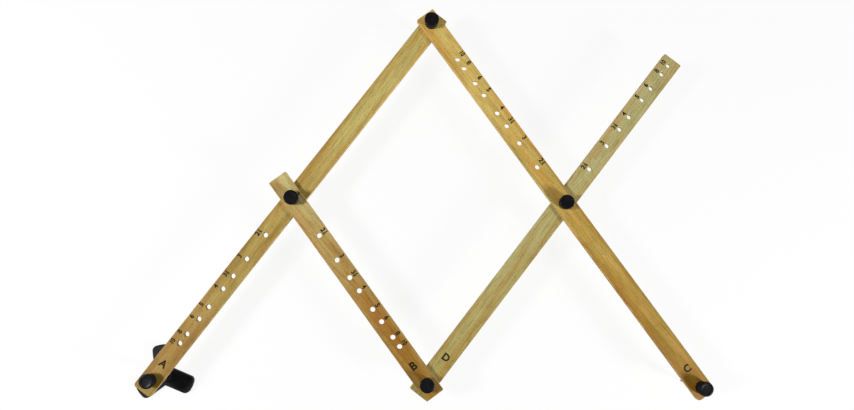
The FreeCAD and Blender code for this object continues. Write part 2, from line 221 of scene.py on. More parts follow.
def dress(piece, body, slot, material, *stands_for):
    """Give a finished piece its material, its body and the node that it replaces."""
    if material is not None:
        piece.data.materials.clear()
        piece.data.materials.append(material)
    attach(piece, body)
    if stands_for:
        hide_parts(*stands_for)
    return piece


# Shader tools

def fill_sockets(tree, made, sockets):
    """Link a node's inputs, or set them where a plain value is given."""
    for key, value in sockets.items():
        if isinstance(value, bpy.types.NodeSocket):
            tree.links.new(value, made.inputs[key])
        else:
            made.inputs[key].default_value = value
    return made


def shader(tree, kind, sockets=None, **settings):
    """A shader node, with its settings and its sockets given by name or number."""
    made = tree.nodes.new(kind)
    for key, value in settings.items():
        setattr(made, key, value)
    return fill_sockets(tree, made, sockets or {})


def maths(tree, operation, first, second=0.0, clamp=False):
    """The result of a sum on one or two values."""
    made = shader(tree, "ShaderNodeMath", {0: first, 1: second}, operation=operation)
    made.use_clamp = clamp
    return made.outputs[0]


def blend_colour(tree, share, first, second, blend_type="MIX"):
    """A share of the second colour laid over the first."""
    made = shader(tree, "ShaderNodeMix", {0: share, 6: first, 7: second},
                  data_type="RGBA", blend_type=blend_type)
    return made.outputs[2]


def shaded(tree, colour, tint):
    """A colour multiplied by a tint."""
    return blend_colour(tree, 1.0, colour, tint, "MULTIPLY")


def stretch(tree, vector, amounts):
    """A place scaled by its own amount on each axis."""
    made = shader(tree, "ShaderNodeVectorMath", {0: vector, 1: amounts},
                  operation="MULTIPLY")
    return made.outputs[0]


def moved_by(tree, vector, shift):
    """A place with a shift added."""
    made = shader(tree, "ShaderNodeVectorMath", {0: vector, 1: shift}, operation="ADD")
    return made.outputs[0]


def noise(tree, vector, scale=1.0, detail=2.0, rough=0.5):
    """Cloudy values between 0 and 1."""
    made = shader(tree, "ShaderNodeTexNoise",
                  {"Vector": vector, "Scale": scale, "Detail": detail, "Roughness": rough})
    return made.outputs["Fac"]


def ramp(tree, value, low, high, to_low=0.0, to_high=1.0, kind="SMOOTHSTEP"):
    """A value taken from the range low to high to the range to_low to to_high."""
    made = shader(tree, "ShaderNodeMapRange",
                  {"Value": value, "From Min": low, "From Max": high,
                   "To Min": to_low, "To Max": to_high}, interpolation_type=kind)
    return made.outputs["Result"]


def new_group(name, inputs, outputs):
    """A shader node group with named sockets."""
    group = bpy.data.node_groups.new(name, "ShaderNodeTree")
    for label, kind, value in inputs:
        socket = group.interface.new_socket(
            name=label, in_out="INPUT", socket_type=f"NodeSocket{kind}")
        socket.default_value = value
    for label, kind in outputs:
        group.interface.new_socket(
            name=label, in_out="OUTPUT", socket_type=f"NodeSocket{kind}")
    return group, group.nodes.new("NodeGroupInput"), group.nodes.new("NodeGroupOutput")


def use_group(tree, group, sockets):
    """One placing of a shared group, with this material's own values."""
    made = tree.nodes.new("ShaderNodeGroup")
    made.node_tree = group
    return fill_sockets(tree, made, sockets)


def new_material(name):
    """A node material with its own tree, its surface shader and its millimetre places."""
    material = bpy.data.materials.new(name)
    material.use_nodes = True
    tree = material.node_tree
    surface = tree.nodes["Principled BSDF"]
    places = shader(tree, "ShaderNodeTexCoord").outputs["Object"]
    return material, tree, surface, stretch(tree, places, (1000, 1000, 1000))


def set_bump(tree, surface, height, strength, distance):
    """Raise the surface by a height map, whose full step is a distance in mm."""
    bump = shader(tree, "ShaderNodeBump",
                  {"Height": height, "Strength": strength, "Distance": distance * MM})
    tree.links.new(bump.outputs["Normal"], surface.inputs["Normal"])


# Finishes

def make_beech_grain():
    """Beech: growth lines, fibre, short ray flecks and broad changes of colour along a board,
    blended from a near to a far end tone that carry painted light.
    """
    group, given, result = new_group(
        "beech grain",
        [("Board", "Vector", (0, 0, 0)), ("Near Tone With Painted Light", "Color", (0.4, 0.3, 0.1, 1)),
         ("Far Tone With Painted Light", "Color", (0.4, 0.3, 0.1, 1)), ("Length", "Float", 440.0),
         ("Shift", "Vector", (0, 0, 0))],
        [("Color", "Color"), ("Height", "Float"), ("Dullness", "Float")],
    )
    board = given.outputs["Board"]
    moved = moved_by(group, board, given.outputs["Shift"])
    moved = shader(group, "ShaderNodeMapping",
                   {"Vector": moved, "Rotation": (0, 0.01, -0.03)}).outputs[0]

    # Tone from end to end: partly the wood's own tone, partly painted light, since the end tones
    # make each bar darker towards the bottom of the frame and lighter towards the top
    along = shader(group, "ShaderNodeSeparateXYZ", {0: board}).outputs["X"]
    share = maths(group, "DIVIDE", along, given.outputs["Length"], clamp=True)
    patchy = noise(group, stretch(group, moved, (0.012, 0.09, 0.09)), 1.0, 2.0)
    share = maths(group, "ADD", share, ramp(group, patchy, 0.3, 0.7, -0.28, 0.28, "LINEAR"),
                  clamp=True)
    tone = blend_colour(group, share, given.outputs["Near Tone With Painted Light"], given.outputs["Far Tone With Painted Light"])

    # Greener, browner and cloudy zones
    zones = noise(group, stretch(group, moved, (0.009, 0.13, 0.13)), 1.0, 2.0)
    warm = shaded(group, tone, (0.98, 0.84, 0.66, 1))
    green = shaded(group, tone, (1.0, 1.07, 1.06, 1))
    tone = blend_colour(group, ramp(group, zones, 0.36, 0.64), green, warm)
    mottle = noise(group, stretch(group, moved, (0.06, 0.26, 0.26)), 1.0, 3.0, 0.6)
    cloudy = shaded(group, tone, (0.84, 0.80, 0.72, 1))
    tone = blend_colour(group, ramp(group, mottle, 0.46, 0.7), tone, cloudy)

    # Growth lines: each fades in slowly, ends sharply and breaks up here and there
    waver = noise(group, stretch(group, moved, (0.006, 0.05, 0.05)), 1.0, 2.0)
    depth = shader(group, "ShaderNodeVectorMath", {0: moved, 1: (0.0, 0.3, 0.36)},
                   operation="DOT_PRODUCT").outputs["Value"]
    field = maths(group, "ADD", depth, maths(group, "MULTIPLY", waver, 8.0))
    lines = maths(group, "FRACT", field)
    rise = ramp(group, lines, 0.35, 0.88)
    fall = ramp(group, lines, 0.9, 1.0, 1.0, 0.0)
    late_wood = maths(group, "MULTIPLY", rise, fall)
    broken = noise(group, stretch(group, moved, (0.08, 1.3, 1.3)), 1.0, 2.0)
    late_wood = maths(group, "MULTIPLY", late_wood, ramp(group, broken, 0.22, 0.6))

    # Fibre, pores and ray flecks
    fibre = noise(group, stretch(group, moved, (0.11, 4.5, 4.5)), 1.0, 3.0, 0.6)
    pores = noise(group, stretch(group, moved, (0.5, 14.0, 14.0)), 1.0, 2.0)
    cells = shader(group, "ShaderNodeTexVoronoi",
                   {"Vector": stretch(group, moved, (0.34, 1.9, 1.9)), "Scale": 1.0})
    seen = shader(group, "ShaderNodeSeparateColor", {0: cells.outputs["Color"]})
    fleck = maths(group, "MULTIPLY", ramp(group, cells.outputs["Distance"], 0.2, 0.42, 1.0, 0.0),
                  ramp(group, seen.outputs[0], 0.35, 0.75))

    # Colour of all of it
    brown = shaded(group, tone, (0.66, 0.46, 0.30, 1))
    dark = shaded(group, tone, (0.5, 0.35, 0.24, 1))
    pale = shaded(group, tone, (1.12, 1.12, 1.18, 1))
    shade = blend_colour(group, ramp(group, fibre, 0.38, 0.66), tone, pale)
    shade = blend_colour(group, maths(group, "MULTIPLY", late_wood, 0.38), shade, brown)
    shade = blend_colour(group, maths(group, "MULTIPLY", fleck, 0.75), shade, dark)
    shade = blend_colour(group, ramp(group, pores, 0.55, 0.8, 0.0, 0.4), shade, brown)
    group.links.new(shade, result.inputs["Color"])

    # Relief: the fibre stands up and the flecks lie low
    deep = maths(group, "MULTIPLY", fleck, -0.5)
    height = maths(group, "ADD", maths(group, "MULTIPLY", fibre, 0.8), deep)
    height = maths(group, "ADD", height, maths(group, "MULTIPLY", pores, 0.35))
    group.links.new(height, result.inputs["Height"])
    group.links.new(ramp(group, fibre, 0.3, 0.7, 0.5, 0.64), result.inputs["Dullness"])
    return group


def make_rubbed_edge():
    """Where the long edges of a board are rubbed pale or have picked up dirt."""
    group, given, result = new_group(
        "rubbed edge",
        [("Board", "Vector", (0, 0, 0)), ("Half Width", "Float", 9.5),
         ("Shift", "Vector", (0, 0, 0))],
        [("Rubbed", "Float"), ("Dirt", "Float")],
    )
    parts = shader(group, "ShaderNodeSeparateXYZ", {0: given.outputs["Board"]})
    board = moved_by(group, given.outputs["Board"], given.outputs["Shift"])
    across = maths(group, "ABSOLUTE", parts.outputs["Y"])
    inset = maths(group, "SUBTRACT", given.outputs["Half Width"], across)
    patch = noise(group, stretch(group, board, (0.12, 0.6, 0.6)), 1.0, 3.0)
    near = ramp(group, inset, 0.15, 0.75, 1.0, 0.0)
    rubbed = maths(group, "MULTIPLY", near, ramp(group, patch, 0.4, 0.66))
    group.links.new(rubbed, result.inputs["Rubbed"])
    wide = ramp(group, inset, 0.3, 3.2, 1.0, 0.0)
    blot = noise(group, stretch(group, board, (0.03, 0.35, 0.35)), 1.0, 4.0, 0.6)
    dirt = maths(group, "MULTIPLY", wide, ramp(group, blot, 0.5, 0.75))
    group.links.new(dirt, result.inputs["Dirt"])
    return group


def make_moulded_skin():
    """Fine grain, flow marks and light scuffs of moulded plastic or rubber."""
    group, given, result = new_group(
        "moulded skin",
        [("Place", "Vector", (0, 0, 0)), ("Grain", "Float", 3.0)],
        [("Height", "Float"), ("Scuff", "Float"), ("Cloud", "Float")],
    )
    place = given.outputs["Place"]
    grain = noise(group, place, given.outputs["Grain"], 2.0, 0.55)
    cloud = noise(group, place, 0.22, 3.0)
    streaks = noise(group, stretch(group, place, (2.6, 0.35, 2.6)), 1.0, 2.0)
    scuff = maths(group, "MULTIPLY", ramp(group, streaks, 0.62, 0.7),
                  ramp(group, cloud, 0.45, 0.65))
    group.links.new(grain, result.inputs["Height"])
    group.links.new(scuff, result.inputs["Scuff"])
    group.links.new(cloud, result.inputs["Cloud"])
    return group


def make_turning_marks():
    """Fine rings that a lathe leaves round an upright part, with a faint tarnish."""
    group, given, result = new_group(
        "turning marks",
        [("Place", "Vector", (0, 0, 0))],
        [("Height", "Float"), ("Tarnish", "Float"), ("Dullness", "Float")],
    )
    place = given.outputs["Place"]
    rings = noise(group, stretch(group, place, (0.06, 0.06, 14.0)), 1.0, 3.0, 0.6)
    cloud = noise(group, place, 0.5, 3.0, 0.6)
    group.links.new(rings, result.inputs["Height"])
    group.links.new(ramp(group, cloud, 0.45, 0.75), result.inputs["Tarnish"])
    dull = maths(group, "ADD", ramp(group, rings, 0.3, 0.7, 0.0, 0.12),
                 ramp(group, cloud, 0.4, 0.8, 0.0, 0.14))
    group.links.new(dull, result.inputs["Dullness"])
    return group


BEECH = make_beech_grain()
RUBBED = make_rubbed_edge()
SKIN = make_moulded_skin()
MARKS = make_turning_marks()


def beech(name, start, turn, length, near, far, shift, cut_face=False):
    """Oiled beech for one bar, with its grain laid along the bar, and painted light in its near
    and far tones.
    """
    material, tree, surface, places = new_material(name)
    local = shader(tree, "ShaderNodeMapping", {
        "Vector": places, "Location": (start[0], start[1], 0), "Rotation": (0, 0, turn),
    }, vector_type="TEXTURE").outputs["Vector"]
    # The near and far tones hold painted light: darker at the end towards the bottom of the frame.
    grain = use_group(tree, BEECH, {"Board": local, "Near Tone With Painted Light": near, "Far Tone With Painted Light": far,
                                    "Length": length, "Shift": shift})
    edge = use_group(tree, RUBBED, {"Board": local, "Half Width": BAR_WIDTH / 2,
                                     "Shift": shift})
    colour = grain.outputs["Color"]
    colour = blend_colour(tree, maths(tree, "MULTIPLY", edge.outputs["Dirt"], 0.4),
                          colour, (0.19, 0.115, 0.045, 1))
    colour = blend_colour(tree, maths(tree, "MULTIPLY", edge.outputs["Rubbed"], 0.45),
                          colour, (0.68, 0.56, 0.3, 1))
    if cut_face:
        dots = noise(tree, local, 2.2, 4.0, 0.7)
        colour = blend_colour(tree, ramp(tree, dots, 0.35, 0.65, 0.1, 0.6),
                              colour, (0.24, 0.14, 0.05, 1))
    tree.links.new(colour, surface.inputs["Base Color"])
    tree.links.new(grain.outputs["Dullness"], surface.inputs["Roughness"])
    surface.inputs["Specular IOR Level"].default_value = 0.3
    set_bump(tree, surface, grain.outputs["Height"], 0.35, 0.12)
    return material


def black_plastic(name, colour, grain, smoothest, roughest, bump=0.25, shine=0.3):
    """Black moulded plastic or rubber with a fine skin and a few grey scuffs."""
    material, tree, surface, places = new_material(name)
    skin = use_group(tree, SKIN, {"Place": places, "Grain": grain})
    cloud, scuff = skin.outputs["Cloud"], skin.outputs["Scuff"]
    faded = tuple(1.4 * part for part in colour[:3]) + (1,)
    grey = tuple(2.2 * part for part in colour[:3]) + (1,)
    tone = blend_colour(tree, ramp(tree, cloud, 0.35, 0.7), colour, faded)
    tone = blend_colour(tree, maths(tree, "MULTIPLY", scuff, 0.5), tone, grey)
    tree.links.new(tone, surface.inputs["Base Color"])
    dull = ramp(tree, cloud, 0.3, 0.7, smoothest, roughest)
    dull = maths(tree, "ADD", dull, maths(tree, "MULTIPLY", scuff, 0.12))
    tree.links.new(dull, surface.inputs["Roughness"])
    surface.inputs["Specular IOR Level"].default_value = shine
    set_bump(tree, surface, skin.outputs["Height"], bump, 0.05)
    return material


def turned_metal(name, colour, tarnish, roughness):
    """Lathe-turned metal: rings of tool marks and a thin uneven tarnish."""
    material, tree, surface, places = new_material(name)
    marks = use_group(tree, MARKS, {"Place": places})
    tone = blend_colour(tree, maths(tree, "MULTIPLY", marks.outputs["Tarnish"], 0.55),
                        colour, tarnish)
    tree.links.new(tone, surface.inputs["Base Color"])
    surface.inputs["Metallic"].default_value = 1.0
    dull = maths(tree, "ADD", marks.outputs["Dullness"], roughness)
    tree.links.new(dull, surface.inputs["Roughness"])
    set_bump(tree, surface, marks.outputs["Height"], 0.3, 0.02)
    return material


def printing_ink():
    """Black stamped ink, a little thin where it didn't take."""
    material, tree, surface, places = new_material("printing_ink")
    patch = noise(tree, places, 1.6, 4.0, 0.65)
    colour = blend_colour(tree, ramp(tree, patch, 0.5, 0.78), (0.018, 0.011, 0.007, 1),
                          (0.085, 0.045, 0.018, 1))
    tree.links.new(colour, surface.inputs["Base Color"])
    tree.links.new(ramp(tree, patch, 0.3, 0.7, 0.6, 0.8), surface.inputs["Roughness"])
    surface.inputs["Specular IOR Level"].default_value = 0.12
    set_bump(tree, surface, patch, 0.2, 0.02)
    return material


def graphite():
    """Soft lead: dark grey with a metallic rub along its sides."""
    material, tree, surface, places = new_material("graphite")
    streaks = noise(tree, stretch(tree, places, (6.0, 6.0, 0.6)), 1.0, 3.0)
    colour = blend_colour(tree, ramp(tree, streaks, 0.4, 0.7), (0.05, 0.05, 0.055, 1),
                          (0.16, 0.16, 0.17, 1))
    tree.links.new(colour, surface.inputs["Base Color"])
    surface.inputs["Metallic"].default_value = 0.4
    tree.links.new(ramp(tree, streaks, 0.3, 0.7, 0.32, 0.5), surface.inputs["Roughness"])
    set_bump(tree, surface, streaks, 0.3, 0.02)
    return material


# Bars

def board(name, near, far, near_corner, far_corner, holes):
    """A bar along its own X axis: sawn blank, rounded corners, eased edges, drilled holes."""
    bpy.ops.object.select_all(action="DESELECT")
    bpy.ops.mesh.primitive_cube_add(
        size=1, location=((far - near) / 2 * MM, 0, BAR_THICK / 2 * MM),
        scale=((far + near) * MM, BAR_WIDTH * MM, BAR_THICK * MM),
    )
    piece = settle(bpy.context.object)
    piece.name = name
    half_way = (far - near) / 2 * MM
    for end, radius in ((-1, near_corner), (1, far_corner)):
        edit(piece)
        choose(piece, "edges", lambda edge: abs(edge.verts[0].co.z - edge.verts[1].co.z)
               > 0.003 and (middle(edge).x - half_way) * end > 0.1)
        bpy.ops.mesh.bevel(offset=radius * MM, segments=6, affect="EDGES")
        done()
    edit(piece)
    choose(piece, "faces", lambda face: abs(face.normal.z) > 0.9)
    bpy.ops.mesh.region_to_loop()
    bpy.ops.mesh.bevel(offset=0.4 * MM, segments=3, affect="EDGES")
    done()
    flare = HOLE_RADIUS + 0.6
    drill = [(flare, -0.3), (HOLE_RADIUS, 0.3), (HOLE_RADIUS, BAR_THICK - 0.3),
             (flare, BAR_THICK + 0.3)]
    drills = [turned("drill", drill, (place, 0), 32) for place in holes]
    cut(piece, join(drills, "drills"))
    return piece


def mark_cut_faces(piece, near, far):
    """Give the end grain at both ends, rounded corners too, the second material."""
    end_reach = 3.2

    def is_cut(face):
        if abs(face.normal.z) > 0.8 or abs(face.normal.x) <= 0.75:
            return False
        along = middle(face).x
        return along < -(near - end_reach) * MM or along > (far - end_reach) * MM

    edit(piece)
    choose(piece, "faces", is_cut)
    piece.active_material_index = 1
    bpy.ops.object.material_slot_assign()
    done()


def lay(piece, spot, turn, height):
    """Turn and move a finished bar or mark to its place on the frame."""
    piece.rotation_euler = (0, 0, turn)
    piece.location = (spot[0] * MM, spot[1] * MM, height * MM)
    return settle(piece)


def figure(text, height, bold, width=1.0):
    """A printed figure or letter as a thin sheet of ink, centred on the origin.

    Bold and width are shares of the height and of the type's own width.
    """
    bpy.ops.object.select_all(action="DESELECT")
    bpy.ops.object.text_add(location=(0, 0, 0))
    piece = bpy.context.object
    piece.data.body = text
    piece.data.size = height * MM
    piece.data.extrude = 0.015 * MM
    piece.data.offset = bold * height * MM
    piece.data.resolution_u = 4
    bpy.ops.object.convert(target="MESH")
    bpy.ops.object.origin_set(type="ORIGIN_GEOMETRY", center="BOUNDS")
    piece.location = (0, 0, 0)
    share = height * MM / piece.dimensions.y
    piece.scale = (share * width, share, 1)
    settle(piece)
    return close_up(piece)


def fraction(whole, height, bold):
    """A whole figure with one half beside it, the half no taller than the figure."""
    big = figure(whole, height, bold)
    parts = [big]
    beside = big.dimensions.x / 2 + 1.7 * MM
    for text, rise in (("1", 0.29), ("2", -0.29)):
        small = figure(text, height * 0.44, 0.08, 1.6)
        small.location = (beside, rise * height * MM, 0)
        parts.append(settle(small))
    bpy.ops.mesh.primitive_cube_add(
        size=1, location=(beside, 0, 0), scale=(2.6 * MM, 0.36 * MM, 0.03 * MM))
    parts.append(settle(bpy.context.object))
    piece = join(parts, "fraction")
    piece.location.x = -1.6 * MM
    return settle(piece)


def on_bar(look, along, across=0.0):
    """Place on the frame of a point given along and across a bar."""
    turn = look["turn"]
    x = look["spot"][0] + along * math.cos(turn) - across * math.sin(turn)
    y = look["spot"][1] + along * math.sin(turn) + across * math.cos(turn)
    return x, y


def stamp_figures(bar, look, figures, places):
    """Print a bar's scale figures as one piece. Those on bar B read the other way round."""
    way = -1 if bar == "bar_b" else 1
    reading = look["turn"] + (math.pi if way < 0 else 0)
    parts = []
    for mark, along in places:
        stamp = copy_of(figures[mark], f"{bar}_figure")
        spot = on_bar(look, along + way * look["shift"], way * look["across"])
        parts.append(lay(stamp, spot, reading, look["top"] + INK_RISE))
    return join(parts, f"figures_{bar}")


def stamp_letter(bar, look):
    """Print a bar's letter with its top to the bar's far end, on bar C to the near end."""
    piece = figure(look["letter"], look["size"], 0.036)
    piece.name = f"letter_{bar}"
    tip = look["turn"] + (math.pi if bar == "bar_c" else 0)
    return lay(piece, on_bar(look, look["letter_at"]), tip - math.pi / 2,
               look["top"] + INK_RISE)


# For each bar: its first pivot and its turn; how far it reaches behind (near) and past (far)
# that pivot; the radii of its corners at those ends; its letter; how far its figures lie along
# (shift) and across the bar from their holes; and the wood's tone at each end. Besides the wood's
# own tone, the end tones hold painted light: each bar is painted darker at its end towards the
# bottom of the frame and lighter towards the top.
BARS = {
    "bar_a": dict(body="arm_a", spot=POLE, turn=LEAN, top=LOWER_TOP, near=13.0, far=432.5,
                  corners=(3.0, 1.2), letter="A", size=7.2, letter_at=18.8, shift=-1.8, across=6.5,
                  near_tone_with_painted_light=(0.30, 0.185, 0.018, 1), far_tone_with_painted_light=(0.61, 0.49, 0.165, 1),
                  grain_shift=(476, 31, 41)),
    "bar_b": dict(body="arm_b", spot=TRACER, turn=math.pi - LEAN, top=UPPER_TOP, near=13.0,
                  far=234.5, corners=(1.2, 1.2), letter="B", size=7.9, letter_at=20.7, shift=-0.5,
                  across=6.0, near_tone_with_painted_light=(0.34, 0.17, 0.018, 1),
                  far_tone_with_painted_light=(0.56, 0.46, 0.18, 1), grain_shift=(13, 27, 26)),
    "bar_c": dict(body="arm_c", spot=APEX, turn=-LEAN, top=UPPER_TOP, near=10.5, far=429.0,
                  corners=(1.2, 3.0), letter="C", size=7.2, letter_at=SPAN - 21.5, shift=-1.5,
                  across=6.4, near_tone_with_painted_light=(0.74, 0.53, 0.155, 1),
                  far_tone_with_painted_light=(0.34, 0.195, 0.014, 1), grain_shift=(321, 25, 34)),
    "bar_d": dict(body="arm_d", spot=TRACER, turn=LEAN, top=LOWER_TOP, near=13.0,
                  far=385.0, corners=(1.2, 1.2), letter="D", size=7.1, letter_at=29.7, shift=-1.0,
                  across=6.0, near_tone_with_painted_light=(0.40, 0.33, 0.10, 1),
                  far_tone_with_painted_light=(0.56, 0.49, 0.23, 1), grain_shift=(252, 48, 34)),
}


def hole_places(bar):
    """Places of a bar's holes from its first one, by its marks and then the others."""
    if bar == "bar_d":
        scale = [(mark, SPAN * (1 - 1 / mark)) for mark in SCALE_MARKS]
    else:
        scale = [(mark, SPAN / mark) for mark in SCALE_MARKS]
    others = [0.0, SPAN] if bar in ("bar_a", "bar_c") else [0.0]
    return scale, others


def make_figures():
    """One printed master for each mark of the scale."""
    figures = {}
    for mark in SCALE_MARKS:
        whole = str(int(mark))
        bold = {"4": 0.02, "3": 0.032, "8": 0.032}.get(whole, 0.045)
        if mark == int(mark):
            figures[mark] = figure(whole, 4.7, bold, 0.85 if mark == 10 else 1.0)
        else:
            figures[mark] = fraction(whole, 4.7, bold)
    return figures


def make_bars():
    """The four bars, each with its wood, its figures and its letter."""
    ink = printing_ink()
    figures = make_figures()
    for bar, look in BARS.items():
        slot = f"wood_{bar[-1]}"
        scale, others = hole_places(bar)
        holes = [place for _, place in scale] + others
        piece = board(f"wood_{bar}", look["near"], look["far"], *look["corners"], holes)
        # The end tones carry painted light as well as the wood's own tone.
        wood = (look["spot"], look["turn"], look["near"] + look["far"], look["near_tone_with_painted_light"],
                look["far_tone_with_painted_light"], look["grain_shift"])
        piece.data.materials.clear()
        piece.data.materials.append(beech(f"beech_{bar}", *wood))
        piece.data.materials.append(beech(f"cut_beech_{bar}", *wood, cut_face=True))
        mark_cut_faces(piece, look["near"], look["far"])
        smooth(piece, 30)
        lay(piece, look["spot"], look["turn"], look["top"] - BAR_THICK)
        dress(piece, look["body"], slot, None, bar)
        dress(stamp_figures(bar, look, figures, scale), look["body"], slot, ink)
        dress(stamp_letter(bar, look), look["body"], slot, ink)
    for piece in figures.values():
        bpy.data.objects.remove(piece)


# Knobs

def in_groove(vert, count=15, share=0.2):
    """Whether a point of a grooved side lies in one of its grooves."""
    turn = math.atan2(vert.co.y, vert.co.x) / (2 * math.pi / count) % 1
    return abs(turn - 0.5) < share


def make_knobs():
    """One moulded knob, modelled once: grooved side, rolled rim, dished top, gate mark."""
    plastic = black_plastic("knob_black", (0.0085, 0.0085, 0.0105, 1), 5.0, 0.26, 0.36,
                            bump=0.25, shine=0.06)
    radius, height = 5.8, 0.0
    groove = 0.93
    side = [(6.0, 0.25), (6.35, 3.2), (6.7, 6.4)]
    rim = [(6.75, 6.9), (6.68, 7.35), (6.42, 7.72), (6.0, 7.94), (5.5, 8.0)]
    dish = [(4.9, 7.98), (4.4, 7.9), (3.9, 7.8), (3.2, 7.74), (0.9, 7.72), (0.78, 7.8)]
    bpy.ops.object.select_all(action="DESELECT")
    bpy.ops.mesh.primitive_circle_add(vertices=120, radius=radius * MM, fill_type="NGON")
    master = bpy.context.object
    master.name = "knob"
    edit(master)
    choose(master, "verts", in_groove)
    bpy.ops.transform.resize(value=(groove, groove, 1), center_override=(0, 0, 0))
    bpy.ops.mesh.select_all(action="SELECT")
    for next_radius, next_height in side + rim + dish:
        bpy.ops.mesh.extrude_region_move(
            TRANSFORM_OT_translate={"value": (0, 0, (next_height - height) * MM)})
        share = next_radius / radius
        bpy.ops.transform.resize(value=(share, share, 1), center_override=(0, 0, 0))
        if (next_radius, next_height) == rim[0]:
            end_grooves(master, next_height, groove)
        radius, height = next_radius, next_height
    done()
    close_up(master)
    seat = turned("seat", [(4.065, -0.5), (4.065, 2.8)], (0, 0), 6)
    cut(master, seat)
    smooth(master, 32)
    # Each knob stopped where it was tight, so that they are turned by different angles.
    turns = {"pole": 4, "left": 17, "apex": 9, "right": 1, "tracer": 13, "lead": 21}
    for name in PIVOTS:
        piece = copy_of(master, f"grip_{name}")
        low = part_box(f"knob_{name}")[0].z / MM
        lay(piece, pivot(name), math.radians(turns[name]), low)
        dress(piece, f"{name}_fastener", "knob_plastic", plastic, f"knob_{name}")
    bpy.data.objects.remove(master)


def end_grooves(knob, height, groove):
    """Bring the grooves out to the full round at this height, and keep the top selected."""
    mesh = bmesh.from_edit_mesh(knob.data)
    top = [face.index for face in mesh.faces if face.select]
    choose(knob, "verts", lambda vert: abs(vert.co.z - height * MM) < 1e-6
           and in_groove(vert))
    bpy.ops.transform.resize(value=(1 / groove, 1 / groove, 1), center_override=(0, 0, 0))
    choose(knob, "faces", lambda face: face.index in top)


# Fittings

def thread_rings(reach, core=1.5, crest=1.75, pitch=0.6):
    """Rings of a threaded end that hangs down from height 0, root and crest in turn.

    The turns are plain rings, without a helix.
    """
    rings = []
    for turn in range(int(reach / pitch)):
        foot = reach - (turn + 1) * pitch
        rings.append((core, -(reach - turn * pitch) + 0.05))
        rings.append((crest, -(foot + 0.55 * pitch)))
    return rings


def make_screws(steel):
    """Six screws moulded into the knobs: hexagon head, plain shank, threaded end."""
    reach = 4.0
    for name in PIVOTS:
        spot = pivot(name)
        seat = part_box(f"knob_{name}")[0].z / MM
        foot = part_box(f"screw_{name}")[0].z / MM
        shoulder = foot + reach
        thread = [(radius, shoulder + height) for radius, height in thread_rings(reach)]
        rings = [(1.2, foot)] + thread[1:] + [(1.5, shoulder), (2.1, shoulder)]
        rings += [(2.25, shoulder + 0.15), (2.25, seat + 1.0)]
        shank = turned(f"threaded_shank_{name}", rings, spot, 48)
        head = turned("head", [(3.9, seat), (4.04, seat + 0.15), (4.04, seat + 2.65),
                               (3.9, seat + 2.8)], spot, 6)
        quarter_turn(head, spot)
        cut(shank, head, "UNION")
        dress(smooth(shank, 30), f"{name}_fastener", "steel", steel, f"screw_{name}")


def quarter_turn(piece, spot):
    """Turn a hexagon a quarter, so that two of its flats are square to Y."""
    edit(piece)
    bpy.ops.mesh.select_all(action="SELECT")
    bpy.ops.transform.rotate(value=math.pi / 2, orient_axis="Z",
                             center_override=(spot[0] * MM, spot[1] * MM, 0))
    done()


def make_nuts(steel):
    """Two hexagon nuts with turned-down corners and countersunk bores."""
    for name, body in (("left", "arm_a"), ("right", "arm_d")):
        spot = pivot(name)
        low, high = (corner.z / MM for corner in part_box(f"nut_{name}"))
        nut = turned(f"hexagon_{name}", [(4.619, low), (4.619, high)], spot, 6)
        quarter_turn(nut, spot)
        blank = turned("blank", [(3.8, low - 0.05), (4.75, low + 0.5), (4.75, high - 0.5),
                                 (3.8, high + 0.05)], spot, 98)
        cut(nut, blank, "INTERSECT")
        bore = turned("bore", [(2.2, low - 0.2), (2.1, low - 0.02), (1.8, low + 0.3),
                               (1.8, high - 0.3), (2.1, high + 0.02), (2.2, high + 0.2)],
                      spot, 48)
        cut(nut, bore)
        dress(smooth(nut, 25), body, "steel", steel, f"nut_{name}")


def make_foot(plastic, metal):
    """Black pillar under the apex, standing on a polished domed glide."""
    pillar = turned("pillar", [(1.53, 7.2), (1.53, 2.2), (3.2, 2.2), (3.8, 3.7), (3.8, 26.0),
                               (1.8, 26.0), (1.8, 20.5)], APEX)
    soften(pillar, 0.2, 3)
    dress(smooth(pillar), "arm_a", "foot_plastic", plastic, "foot_pillar")
    glide = turned("glide", [(0.5, 0.0), (1.2, 0.05), (1.9, 0.25), (2.42, 0.6), (2.76, 1.1),
                             (2.95, 1.65), (3.0, 2.2), (1.5, 2.2), (1.5, 7.2)], APEX, 96)
    dress(smooth(glide, 40), "arm_a", "glide_metal", metal, "foot_glide")


def make_tracer(plastic, steel):
    """Holder with a tapered nose, and the steel pin with a ground point."""
    holder = turned("pin_holder", [(1.03, 18.0), (1.03, 9.0), (2.0, 9.0), (4.0, 14.0),
                                   (4.0, 26.0), (1.8, 26.0), (1.8, 20.5)], TRACER)
    soften(holder, 0.22, 3)
    dress(smooth(holder), "arm_d", "foot_plastic", plastic, "tracer_holder")
    pin = turned("pin", [(0.1, 0.0), (0.2, 0.05), (0.27, 0.3), (0.97, 4.8), (1.0, 5.1),
                         (1.0, 17.8), (0.85, 18.0)], TRACER, 48)
    dress(smooth(pin), "arm_d", "turned_steel", steel, "tracer_pin")


